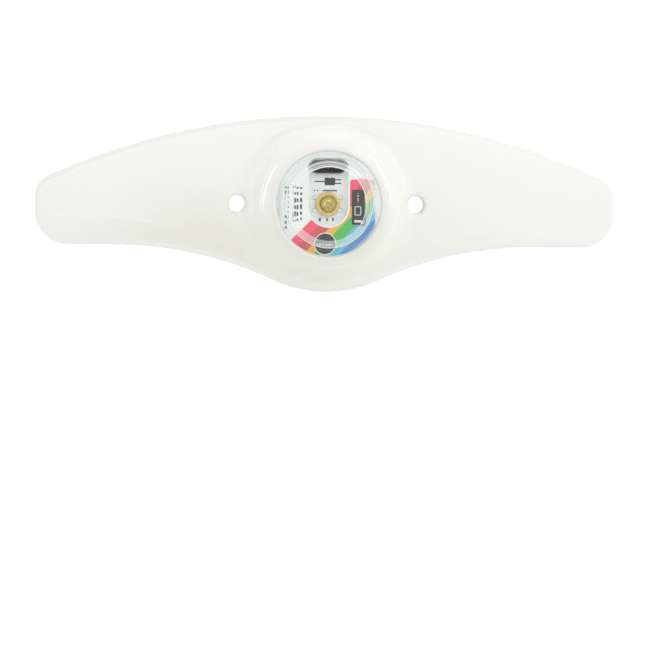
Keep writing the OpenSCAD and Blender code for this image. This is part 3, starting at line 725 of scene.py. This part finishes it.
# Print of the label in millimetres; a box is (centre, half size, corner radius), a disc (centre, radius)
STRIPES = (
    (0.0, srgb(252, 88, 122)),
    (3.1, srgb(214, 92, 94)),
    (6.3, srgb(243, 180, 86)),
    (8.85, srgb(86, 190, 98)),
    (12.35, srgb(116, 192, 212)),
    (15.5, srgb(92, 146, 210)),
)
STRIPE_SPAN = 20.0
STRIPE_TOP = ((10.0, -4.0), (5.3, 10.2), 1.2)
KEYLINE = ((0.0, 3.0), (5.45, 9.0), 5.4)
PANEL = ((7.56, -0.8), (1.64, 4.45), 0.3)
PANEL_BAR = ((7.55, -4.33), (0.95, 0.3), 0.05)
PANEL_FRAME, FRAME_HALF_LINE = ((7.5, -1.7), (0.75, 1.05), 0.2), 0.1
BADGE, BADGE_BORDER = ((-0.79, -10.1), 2.6), 0.22

# Columns of dashes as (x, middle, half width, pitch, half length, seed), and rows with y in place of x
PANEL_COLUMN = (7.5, 1.6, 0.12, 0.9, 1.2, 7)
BADGE_ROWS = (
    (-9.9, -0.8, 0.26, 0.8, 2.0, 5),
    (-10.8, -0.8, 0.2, 0.8, 1.7, 9),
)
LABEL_COLUMNS = (
    (-7.0, 0.1, 0.25, 1.64, 4.1, 3),
    (-7.9, 0.0, 0.21, 1.74, 4.3, 11),
    (-8.5, 0.0, 0.2, 1.74, 4.3, 17),
    (-9.8, -0.2, 0.18, 1.2, 4.4, 23),
    (-10.8, -1.0, 0.22, 1.5, 5.3, 41),
)


def stripe_colours(s, slant):
    """Colour of the label's diagonal stripes."""
    ramp = s.tree.nodes.new("ShaderNodeValToRGB")
    ramp.color_ramp.interpolation = "CONSTANT"
    points = ramp.color_ramp.elements
    while len(points) < len(STRIPES):
        points.new(0.5)
    for point, (start, colour) in zip(points, STRIPES):
        point.position = start / STRIPE_SPAN
        point.color = (*colour, 1.0)
    plug(s.tree, slant / STRIPE_SPAN, ramp.inputs[0])
    return ramp.outputs[0]


def column_of_dashes(s, x, middle, *dash):
    """Ink of dashes one above the other."""
    return dashes(s.x - x, s.y - middle, *dash)


def row_of_dashes(s, y, middle, *dash):
    """Ink of dashes side by side."""
    return dashes(s.y - y, s.x - middle, *dash)


def printed_label():
    """White paper with diagonal stripes, a dark panel, a dark badge and columns of dashes."""
    s = Surface("printed_label")
    paper = s.grained(srgb(238, 241, 238), srgb(246, 248, 246), 0.38, 0.1, 3.0, 9.0, 0.004)
    slant = s.x - s.y
    rounded_top = box_distance(s, *STRIPE_TOP).inked()
    striped = slant.between(-0.36, -0.24) * rounded_top.most(s.y.between(-2.0, -3.0))
    badge = disc_distance(s, *BADGE)
    colour = s.mix(striped, paper, stripe_colours(s, slant))
    colour = s.mix(box_distance(s, *KEYLINE).inked(), colour, srgb(242, 244, 242))
    colour = s.mix((badge - BADGE_BORDER).inked(), colour, srgb(232, 234, 228))
    colour = s.mix(box_distance(s, *PANEL).inked(), colour, srgb(64, 60, 54))
    colour = s.mix(badge.inked(), colour, srgb(56, 68, 64))
    light_marks = [
        box_distance(s, *PANEL_BAR).inked(),
        (box_distance(s, *PANEL_FRAME).abs() - FRAME_HALF_LINE).inked(),
        column_of_dashes(s, *PANEL_COLUMN),
        *(row_of_dashes(s, *row) for row in BADGE_ROWS),
    ]
    colour = s.mix(reduce(Num.most, light_marks), colour, srgb(226, 228, 224))
    dark_marks = reduce(Num.most, [column_of_dashes(s, *column) for column in LABEL_COLUMNS])
    s.feed("Base Color", s.mix(dark_marks, colour, srgb(62, 66, 64)))
    s.let_light_through(s.shader.outputs[0], 0.8)
    return s.material


# Ink on the board in millimetres, as boxes: a rule with two dots, a plug with cord and pins, three ticks
BOARD_INK = (
    ((0.5, 3.4), (1.85, 0.17), 0.1),
    ((-2.6, 3.4), (0.2, 0.17), 0.05),
    ((-3.4, 3.4), (0.2, 0.17), 0.05),
    ((0.5, 5.7), (1.35, 0.95), 0.3),
    ((-2.1, 5.7), (1.3, 0.15), 0.1),
    ((2.55, 6.15), (0.85, 0.16), 0.05),
    ((2.55, 5.25), (0.85, 0.16), 0.05),
    ((-2.0, -3.95), (0.26, 0.42), 0.05),
    ((-0.15, -3.95), (0.2, 0.42), 0.05),
    ((1.35, -3.95), (0.2, 0.42), 0.05),
)
PAD_CENTRE, PAD_HALF, PAD_BORDER = (3.25, 1.6), (0.42, 0.36), 0.14


def white_board():
    """White board with dark ink, and solder pads at the four legs of the switch."""
    s = Surface("white_board")
    white = s.grained(srgb(239, 242, 239), srgb(247, 249, 247), 0.3, 0.15, 0.8, 5.0, 0.004)
    ink = reduce(Num.most, [box_distance(s, *box).inked() for box in BOARD_INK])
    across = (s.x.abs() - PAD_CENTRE[0]).abs() - PAD_HALF[0]
    along = (s.y.abs() - PAD_CENTRE[1]).abs() - PAD_HALF[1]
    pad = across.most(along)
    colour = s.mix(ink, white, srgb(58, 62, 62))
    colour = s.mix((pad - PAD_BORDER).inked(0.08), colour, srgb(186, 184, 168))
    s.feed("Base Color", s.mix(pad.inked(), colour, srgb(254, 254, 251)))
    return s.material


def moulded_plastic(name, dark, light, roughness, through=None):
    """Plastic, foam or ceramic with a mottled grain; through is the share of light let past."""
    s = Surface(name)
    s.grained(dark, light, roughness)
    if through:
        s.let_light_through(s.shader.outputs[0], through)
    return s.material


def plated_metal(name, dark, light, roughness, scale=3.0, stretch=EVEN, metallic=1.0):
    """Metal with a fine grain, drawn out where stretch is uneven."""
    s = Surface(name)
    s.grained(dark, light, roughness, 0.2, scale, scale, 0.004, stretch)
    s.set(Metallic=metallic)
    return s.material


def port_metal():
    """Plated shell of the port, streaked, with painted shade along its lower lip, where the mouth of the
    port is dark.
    """
    s = Surface("port_steel")
    streaks = (1.0, 0.2, 0.3)
    plate = s.grained(srgb(84, 88, 86), srgb(172, 176, 174), 0.3, 0.2, 1.6, 1.6, 0.004, streaks)
    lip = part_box("usb_shell")[0][1] / MM
    s.feed("Base Color", s.mix(s.y.between(lip + 0.7, lip + 0.4), plate, srgb(58, 60, 58)))
    s.set(Metallic=0.7)
    return s.material


def turned_brass(name, dark, light, groove_painted_shade, painted_highlight_radius):
    """Brass with turning rings, painted shade of the groove between two radii and a painted highlight
    swirling in the middle.
    """
    s = Surface(name)
    rho = s.x.hypot(s.y)
    turned = s.place_group(TURNING, Scale=9.0, Depth=0.012)
    colour = s.mix(s.noise(1.4, 3.0).between(0.25, 0.75), dark, light)
    colour = s.mix(rho.between(*groove_painted_shade), colour, srgb(190, 164, 82))
    painted_highlight = s.noise(1.1, 1.0).between(0.5, 0.66) * rho.between(painted_highlight_radius, painted_highlight_radius * 0.8)
    s.feed("Base Color", s.mix(painted_highlight, colour, srgb(228, 212, 154)))
    s.feed("Roughness", Num(s.tree, turned["Rings"]) * 0.15 + 0.25)
    s.feed("Normal", turned["Normal"])
    s.set(Metallic=0.65)
    return s.material


blade = make_blade()
blade.data.materials.append(frosted_silicone())
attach(blade, "blade")
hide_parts("blade")

# Finishes of the other pieces, with a painted reflection on the clear ring; the brass has painted groove
# shade at the cover's hole and at the plunger's rim
clear_ring = clear_silicone("clear_ring", ring_painted_glare)
clear_button = clear_silicone("clear_button", button_haze)
shell = moulded_plastic("white_shell", srgb(236, 239, 238), srgb(244, 246, 245), 0.4, through=0.85)
black = moulded_plastic("black_plastic", srgb(30, 31, 32), srgb(44, 45, 46), 0.45)
lamp = moulded_plastic("lamp_body", srgb(238, 238, 232), srgb(246, 246, 242), 0.35)
lens = moulded_plastic("lamp_lens", srgb(236, 208, 90), srgb(246, 226, 120), 0.25)
foam = moulded_plastic("foam", srgb(44, 44, 48), srgb(58, 58, 62), 0.85)
ceramic = moulded_plastic("chip_ceramic", srgb(180, 150, 116), srgb(196, 168, 132), 0.4)
brushed = (0.3, 0.3, 2.0)
steel = plated_metal("plated_steel", srgb(176, 182, 182), srgb(204, 209, 209), 0.22, stretch=brushed)
tin = plated_metal("tinned_metal", srgb(232, 232, 228), srgb(250, 250, 246), 0.28, metallic=0.5)
gold = plated_metal("gold_plate", srgb(214, 176, 88), srgb(232, 198, 112), 0.2)
cover_brass = turned_brass("turned_brass", srgb(212, 182, 98), srgb(236, 214, 148), (2.5, 2.15), 0.1)
worn_brass = turned_brass("worn_brass", srgb(168, 150, 80), srgb(202, 188, 118), (1.66, 1.84), 1.3)
resistors = [f"resistor_{i}" for i in range(1, 5)]
capacitors = [f"capacitor_{i}" for i in range(1, 4)]
finishes = {
    clear_ring: ("window_ring",),
    clear_button: ("press_button",),
    shell: ("front_shell", "rear_shell"),
    printed_label(): ("face_label",),
    white_board(): ("circuit_board",),
    steel: ("switch_dome", "battery_can", "battery_cap"),
    port_metal(): ("usb_shell",),
    black: ("usb_tongue", "switch_base", "control_chip", "charge_chip", "battery_gasket", *resistors),
    gold: ("usb_contacts",),
    cover_brass: ("switch_cover",),
    worn_brass: ("switch_plunger",),
    tin: (
        "switch_terminals",
        "control_chip_leads",
        "charge_chip_leads",
        "battery_tab_positive",
        "battery_tab_negative",
    ),
    lamp: ("led_left", "led_right"),
    lens: ("led_left_lens", "led_right_lens"),
    ceramic: capacitors,
    foam: ("battery_pad",),
}
for material, names in finishes.items():
    for name in names:
        nodes[name].data.materials.clear()
        nodes[name].data.materials.append(material)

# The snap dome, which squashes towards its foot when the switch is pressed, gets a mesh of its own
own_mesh(nodes["switch_dome"])

# Stage in metres and watts: white floor just under the part, and lamps as (name, place, size, power)
FLOOR_HALF, FLOOR_Z = 3.0, -0.0002
LAMPS = (
    ("key_softbox", (0.38, 0.4, 0.88), (1.2, 1.0), 3.4),
    ("left_softbox", (-0.82, 0.27, 0.36), (0.75, 0.045), 1.75),
    ("right_softbox", (0.94, 0.41, 0.43), (1.0, 0.07), 2.4),
    ("front_softbox", (0.0, -0.8, 0.3), (0.9, 0.25), 1.2),
)
LAMP_AIM = Vector((0, 0, 0))
WORLD_STRENGTH = 0.595


def white_floor():
    """White floor that glows where it is seen, directly or in mirrors, and else is lit like paper."""
    mesh = bpy.data.meshes.new("floor")
    corners = [(x * FLOOR_HALF, y * FLOOR_HALF, 0) for x, y in ((-1, -1), (1, -1), (1, 1), (-1, 1))]
    mesh.from_pydata(corners, [], [(0, 1, 2, 3)])
    floor = bpy.data.objects.new("floor", mesh)
    floor.location.z = FLOOR_Z
    bpy.context.scene.collection.objects.link(floor)
    s = Surface("floor_white")
    s.set(Roughness=0.9, Specular_IOR_Level=0.0, Emission_Color=(1, 1, 1, 1))
    path = s.tree.nodes.new("ShaderNodeLightPath")
    kinds = ("Is Camera Ray", "Is Glossy Ray", "Is Transmission Ray")
    seen = reduce(Num.most, [Num(s.tree, path.outputs[kind]) for kind in kinds])
    s.feed("Base Color", s.mix(seen, (0.9, 0.9, 0.9), (0.15, 0.15, 0.15)))
    s.feed("Emission Strength", seen * 0.92)
    mesh.materials.append(s.material)


def softbox(name, place, size, power):
    """Rectangular lamp that faces the part."""
    light = bpy.data.lights.new(name, "AREA")
    light.shape = "RECTANGLE"
    light.size, light.size_y = size
    light.energy = power
    lamp_object = bpy.data.objects.new(name, light)
    lamp_object.location = place
    lamp_object.rotation_mode = "QUATERNION"
    lamp_object.rotation_quaternion = (LAMP_AIM - Vector(place)).to_track_quat("-Z", "Y")
    bpy.context.scene.collection.objects.link(lamp_object)


white_floor()
for row in LAMPS:
    softbox(*row)
world = bpy.data.worlds.new("studio")
world.use_nodes = True
world.node_tree.nodes["Background"].inputs["Color"].default_value = (1, 1, 1, 1)
world.node_tree.nodes["Background"].inputs["Strength"].default_value = WORLD_STRENGTH
scene = bpy.context.scene
scene.world = world
scene.view_settings.view_transform = "Standard"
scene.view_settings.look = "None"

# Camera far above with a long lens, a little to the left; the frame is 164.9 mm across at the wings
FRAME_WIDTH = 164.9 * MM
CAMERA_DISTANCE = 1.5
CAMERA_AIM = Vector((-0.27, -30.6, 6.5)) * MM
CAMERA_BACK = Vector((-0.107, 0.016, 1.0)).normalized()
CAMERA_TURN = math.radians(0.39)
SENSOR_WIDTH = 36.0
camera_data = bpy.data.cameras.new("camera")
camera = bpy.data.objects.new("camera", camera_data)
scene.collection.objects.link(camera)
camera_data.sensor_width = SENSOR_WIDTH
camera_data.lens = SENSOR_WIDTH * CAMERA_DISTANCE / FRAME_WIDTH
camera_data.clip_start, camera_data.clip_end = 0.1, 20
upright = Vector((-math.sin(CAMERA_TURN), math.cos(CAMERA_TURN), 0))
camera_right = upright.cross(CAMERA_BACK).normalized()
camera_up = CAMERA_BACK.cross(camera_right)
camera_rotation = Matrix((camera_right, camera_up, CAMERA_BACK)).transposed().to_quaternion()
camera_place = CAMERA_AIM + CAMERA_BACK * CAMERA_DISTANCE
camera.matrix_world = Matrix.LocRotScale(camera_place, camera_rotation, None)
scene.camera = camera
